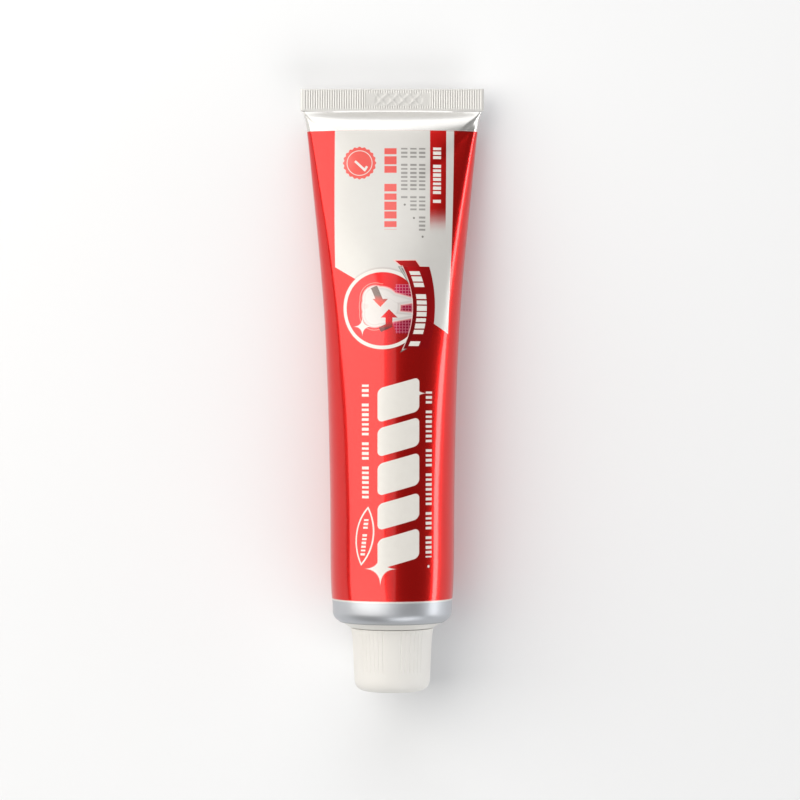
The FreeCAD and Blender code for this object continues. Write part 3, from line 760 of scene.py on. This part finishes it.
def print_tooth(sheet, inside):
    """The tooth in the badge: a crown of discs and a box, two roots, a light rim, a soft line inside the
    edge, a halo on the crown's side, and a pit."""
    ink = sheet.ink
    crown = sheet.lowest(sheet.disc(-4.9, 62.8, 3.7), sheet.disc(-5.1, 67.5, 3.6),
                         sheet.box(-5.2, -1.0, 59.9, 70.4), sheet.disc(-3.2, 65.1, 5.6, 1.02))
    roots = sheet.lowest(sheet.convex((-2.0, 60.4), (6.6, 62.8), (6.6, 64.0), (-2.0, 65.4)),
                         sheet.convex((-2.0, 66.2), (6.6, 67.0), (6.6, 68.4), (-2.0, 70.0)))
    tooth = sheet.lowest(crown, roots)
    halo = sheet.highest(abs(tooth - 0.95) - 0.1, sheet.across + 2.6)
    sheet.lay(ink(tooth - 0.3, 0.35) * inside, linear(238, 160, 158))
    sheet.lay(ink(tooth, 0.25) * inside, linear(214, 209, 206))
    sheet.lay(ink(abs(tooth + 0.5) - 0.1, 0.8) * inside * 0.5, linear(168, 150, 148))
    sheet.lay(ink(halo) * inside * 0.6, linear(240, 160, 150))
    sheet.lay(ink(sheet.disc(-8.0, 65.1, 1.0, 0.8), 0.8) * 0.35, linear(180, 160, 156))


def print_arrows(sheet):
    """The badge's two arrows, each with a triangular head and toned from dark at its foot to red, and a
    sparkle."""
    finish = sheet.finish
    down_arrow = sheet.lowest(sheet.stroke((-5.3, 59.3), (-3.6, 63.4), 1.0),
                              sheet.convex((-5.7, 62.9), (-1.2, 62.9), (-3.4, 65.3)))
    down_tone = finish.math("MULTIPLY_ADD", sheet.along, 0.4, -24.7, clamp=True)
    sheet.lay(sheet.ink(down_arrow), finish.mix(down_tone, linear(110, 96, 92), linear(206, 60, 50)))
    up_arrow = sheet.lowest(sheet.box(-1.9, 0.1, 68.2, 71.2), sheet.stroke((-0.6, 70.6), (-3.6, 72.0), 0.8),
                            sheet.convex((-3.3, 68.4), (-0.9, 65.9), (1.6, 68.4)))
    up_tone = finish.math("MULTIPLY_ADD", sheet.along, -0.45, 32.2, clamp=True)
    sheet.lay(sheet.ink(up_arrow), finish.mix(up_tone, linear(96, 44, 44), linear(206, 26, 30)))
    sheet.lay(sheet.ink(sheet.sparkle(-8.8, 71.0, 2.9), 0.25), WHITE)


def print_ribbon(sheet):
    """The ribbon across the badge: folded tail, grey inner folds, and a band between two parabolas, with a
    light rim and a shade on its left and a column of marks."""
    ink = sheet.ink
    u = sheet.across
    v = sheet.along
    tail = sheet.convex((0.9, 51.6), (6.9, 51.5), (8.4, 53.6), (3.4, 53.8))
    sheet.lay(ink(tail - 0.25) * 0.8, linear(244, 190, 182))
    sheet.lay(ink(tail), linear(186, 22, 24))
    folds = sheet.lowest(sheet.convex((1.9, 53.4), (4.4, 53.4), (5.9, 59.2), (4.6, 57.8)),
                         sheet.convex((5.9, 71.8), (4.4, 77.4), (2.6, 78.4), (4.3, 75.0)))
    sheet.lay(ink(folds - 0.1), linear(126, 124, 120))
    sheet.lay(ink(abs(folds + 0.25) - 0.12, 0.3) * 0.8, linear(214, 212, 206))

    bend = (v - 65.5) * (v - 65.5)
    left_edge = 6.15 - bend * 0.02
    right_edge = 13.0 - bend * 0.013
    ribbon = sheet.highest(left_edge - u, u - right_edge, sheet.band(53.3, 77.5))
    shade = ink(abs(u - left_edge - 0.4) - 0.5, 0.9) * ink(ribbon)
    sheet.lay(ink(sheet.highest(ribbon - 0.3, u - left_edge)) * 0.7, linear(238, 214, 208))
    sheet.lay(ink(ribbon), linear(204, 12, 20))
    sheet.lay(shade * 0.5, linear(120, 8, 14))
    sheet.lay(ink(sheet.blocks(1.15, 4.2, 54.4, 76.9, 1.73, 0.8, 0.12, u=u - left_edge)), WHITE)


def print_motif(sheet):
    """The large white motif: five slanted blocks, their lengths varied by a golden-ratio sequence. A round
    corner is the distance from the corner's own centre, less its radius."""
    finish = sheet.finish
    start = 87.0
    cell = 10.75
    corner_radius = 1.6
    lean = sheet.along + (sheet.across - 2.0) * 0.28
    steps = (lean - start) * (1 / cell)
    trim = sheet.fraction(finish.math("FLOOR", steps) * GOLDEN) * 1.3
    lengthwise = abs((sheet.fraction(steps) - 0.5) * cell) - 4.9 + trim
    sideways = abs(sheet.across - 1.95) - 6.15
    past_length = finish.math("MAXIMUM", lengthwise + corner_radius, 0.0)
    past_side = finish.math("MAXIMUM", sideways + corner_radius, 0.0)
    block = finish.math("SQRT", past_length * past_length + past_side * past_side) - corner_radius
    ends = abs(lean - start - 2.5 * cell) - 2.5 * cell
    sheet.lay(sheet.ink(sheet.highest(block, ends)), WHITE)


def print_leaf(sheet):
    """Small white print beside the motif, the outline of a leaf where two discs overlap, and two sparkles."""
    ink = sheet.ink
    sheet.lay(ink(sheet.blocks(-9.0, -6.9, 87.6, 122.2, 1.4, 0.56)), WHITE)
    sheet.lay(ink(sheet.blocks(10.2, 12.3, 89.6, 138.0, 1.4, 0.56)), WHITE)
    sheet.lay(ink(sheet.disc(11.2, 140.6, 0.4)), WHITE)
    leaf_u = -8.2
    leaf_v = 131.8
    aside = 11.2
    lower = 1.5
    leaf = sheet.highest(sheet.disc(leaf_u + aside, leaf_v + lower, 14.2),
                         sheet.disc(leaf_u - aside, leaf_v - lower, 14.2))
    sheet.lay(ink(abs(leaf + 0.2) - 0.22), WHITE)
    tilted = sheet.across + (sheet.along - leaf_v) * 0.12
    sheet.lay(ink(sheet.blocks(-8.9, -7.5, 126.6, 137.4, 1.1, 0.56, u=tilted)), WHITE)
    sheet.lay(ink(sheet.sparkle(-3.4, 141.2, 5.0), 0.25), WHITE)
    sheet.lay(ink(sheet.sparkle(6.3, 90.5, 4.4), 0.25), WHITE)


def printed_laminate():
    """Glossy varnished laminate: red field, pearl label, badge, ribbon and plain marks in place of text. The
    red is a metallic ink, so the sheet is less metallic the more green its colour has."""
    finish = Finish("printed_laminate", IOR=1.5, Coat_Roughness=0.08, Coat_IOR=2.2)
    sheet = Print(finish, SILVER)
    red_field = sheet.ink(sheet.band(RED_START, RED_END), 0.2)
    sheet.lay(red_field, RED)

    # the bare band round the shoulder, its silver given painted shade; its cut edge shows as a fine line
    shaded_shoulder_band = sheet.ink(RED_END + 0.5 - sheet.along)
    # the same silver laminate as the tail, in a darker, bluer grey: painted shade of the rolled end
    sheet.lay(shaded_shoulder_band, linear(184, 187, 192))
    sheet.lay(sheet.ink(abs(sheet.along - LIP) - 0.22, 0.3) * 0.6, linear(120, 120, 120))

    label = print_label(sheet)
    heading = print_heading(sheet)
    rosette = print_rosette(sheet)
    print_tooth(sheet, print_badge(sheet))
    print_arrows(sheet)
    print_ribbon(sheet)
    print_motif(sheet)
    print_leaf(sheet)

    # lap seam underneath: a slightly darker band
    seam = abs(abs(sheet.across) - GIRTH / 2) - 1.6
    sheet.lay(sheet.ink(seam, 0.3) * 0.18, linear(60, 10, 12))

    # faint mottling of the ink, then the finish of each field
    mottle = finish.noise(420.0, 3.0)
    grain = finish.noise(1500.0, 2.0)
    sheet.lay((mottle - 0.4) * 0.05, linear(120, 4, 8))
    bare = 1.0 - red_field
    matt = sheet.ink(sheet.lowest(heading, rosette))
    shiny = sheet.ink(sheet.band(CRIMP_LENGTH - PRINT_LATE, RED_START), 0.6)
    green = finish.node("ShaderNodeSeparateColor", None, {0: sheet.colour}, 1)
    metal = 0.76 - green * 1.05 + bare * 0.35 + shiny * 0.25 + shaded_shoulder_band * 0.08
    rough = 0.24 + bare * 0.22 - shiny * 0.22 - shaded_shoulder_band * 0.04 + label * 0.04 + mottle * 0.04
    finish.feed(Base_Color=sheet.colour, Roughness=rough,
                Metallic=finish.math("MULTIPLY_ADD", matt, -0.5, metal, clamp=True),
                Coat_Weight=(0.2 - green) * red_field)
    finish.relief(grain * 0.3 + mottle, 0.03, 0.0002)
    return finish.material


def cap_plastic():
    """Satin off-white moulded plastic, with a very fine texture."""
    finish = Finish("cap_plastic", IOR=1.46)
    grain = finish.noise(2600.0, 2.0)
    cloud = finish.noise(90.0, 2.0)
    colour = finish.mix(cloud * 0.3, linear(226, 224, 220), linear(221, 218, 213))
    finish.feed(Base_Color=colour, Roughness=0.42 + grain * 0.12)
    finish.relief(grain, 0.15, 0.0001)
    return finish.material


def shoulder_plastic():
    """Smooth milky polyethylene."""
    finish = Finish("shoulder_plastic", IOR=1.5)
    cloud = finish.noise(160.0, 2.0)
    colour = finish.mix(cloud * 0.4, linear(222, 220, 215), linear(214, 213, 210))
    finish.feed(Base_Color=colour, Roughness=0.3 + cloud * 0.1)
    finish.relief(cloud, 0.1, 0.0002)
    return finish.material


def paste_filling():
    """White paste with a slight wet sheen and soft ripples."""
    finish = Finish("paste_filling", IOR=1.4)
    ripple = finish.noise(350.0, 3.0)
    colour = finish.mix(ripple * 0.5, linear(246, 246, 242), linear(236, 240, 240))
    finish.feed(Base_Color=colour, Roughness=0.25 + ripple * 0.15)
    finish.relief(ripple, 0.3, 0.0006)
    return finish.material


# ------------------------------------------------------------------ stage
def make_floor():
    """A plain pale floor, just under the tube."""
    mesh = bpy.data.meshes.new("floor")
    reach = 3.0
    level = -0.0001
    mesh.from_pydata([(-reach, -reach, level), (reach, -reach, level), (reach, reach, level),
                      (-reach, reach, level)], [], [(0, 1, 2, 3)])
    floor = bpy.data.objects.new("floor", mesh)
    bpy.context.scene.collection.objects.link(floor)
    finish = Finish("floor_paper", Roughness=0.9)
    finish.feed(Base_Color=(0.84, 0.85, 0.865))
    floor.data.materials.append(finish.material)


def add_light(name, place, target, size, power, colour=(1, 1, 1)):
    """A rectangular soft light at a place, turned to a target, with its sizes across and up."""
    data = bpy.data.lights.new(name, "AREA")
    data.shape = "RECTANGLE"
    data.size, data.size_y = size
    data.energy = power
    data.color = colour
    light = bpy.data.objects.new(name, data)
    light.location = place
    light.rotation_euler = (Vector(target) - Vector(place)).to_track_quat("-Z", "Y").to_euler()
    bpy.context.scene.collection.objects.link(light)


def make_lights():
    """A tall soft light on the left from near the floor to overhead, softer ones beyond both ends, and a low
    strip on the right."""
    middle = (0.0, 0.0, 0.018)
    near_tail = (0.0, 0.12, 0.018)
    warm = (1.0, 0.97, 0.92)
    add_light("left_softbox", (-0.72, 0.22, 0.68), near_tail, (0.85, 1.36), 11.0, warm)
    add_light("top_softbox", (-0.07, -0.3, 1.25), (-0.07, -0.3, 0.0), (0.4, 2.6), 2.9)
    add_light("tail_softbox", (-0.05, 1.05, 0.56), middle, (1.2, 1.2), 8.3)
    add_light("cap_softbox", (0.55, -1.1, 0.75), middle, (1.2, 0.8), 8.4)
    add_light("right_strip", (1.0, 0.05, 0.10), middle, (0.9, 0.18), 3.8)
    world = bpy.data.worlds.new("room")
    world.use_nodes = True
    background = world.node_tree.nodes["Background"]
    background.inputs["Color"].default_value = (1, 1, 1, 1)
    background.inputs["Strength"].default_value = 0.08
    bpy.context.scene.world = world


def make_camera():
    """Straight above, the tail at the top of the view and the tube a little left of the middle."""
    data = bpy.data.cameras.new("camera")
    height = 0.82
    view_width = 0.2352                    # at the height of the tube's axis, 0.82 m below
    data.sensor_width = 36.0
    data.lens = data.sensor_width * height / view_width
    data.clip_end = 10.0
    camera = bpy.data.objects.new("camera", data)
    camera.location = (2.3 * MM, -3.55 * MM, RADIUS * MM + height)
    bpy.context.scene.collection.objects.link(camera)
    bpy.context.scene.camera = camera


def main():
    """Makes the four pieces with their materials, then the stage."""
    for piece, material in ((make_sleeve(), printed_laminate()), (make_shoulder(), shoulder_plastic()),
                            (make_paste(), paste_filling()), (make_cap(), cap_plastic())):
        piece.data.materials.append(material)
    make_floor()
    make_lights()
    make_camera()
    bpy.context.scene.view_settings.view_transform = "Standard"


main()
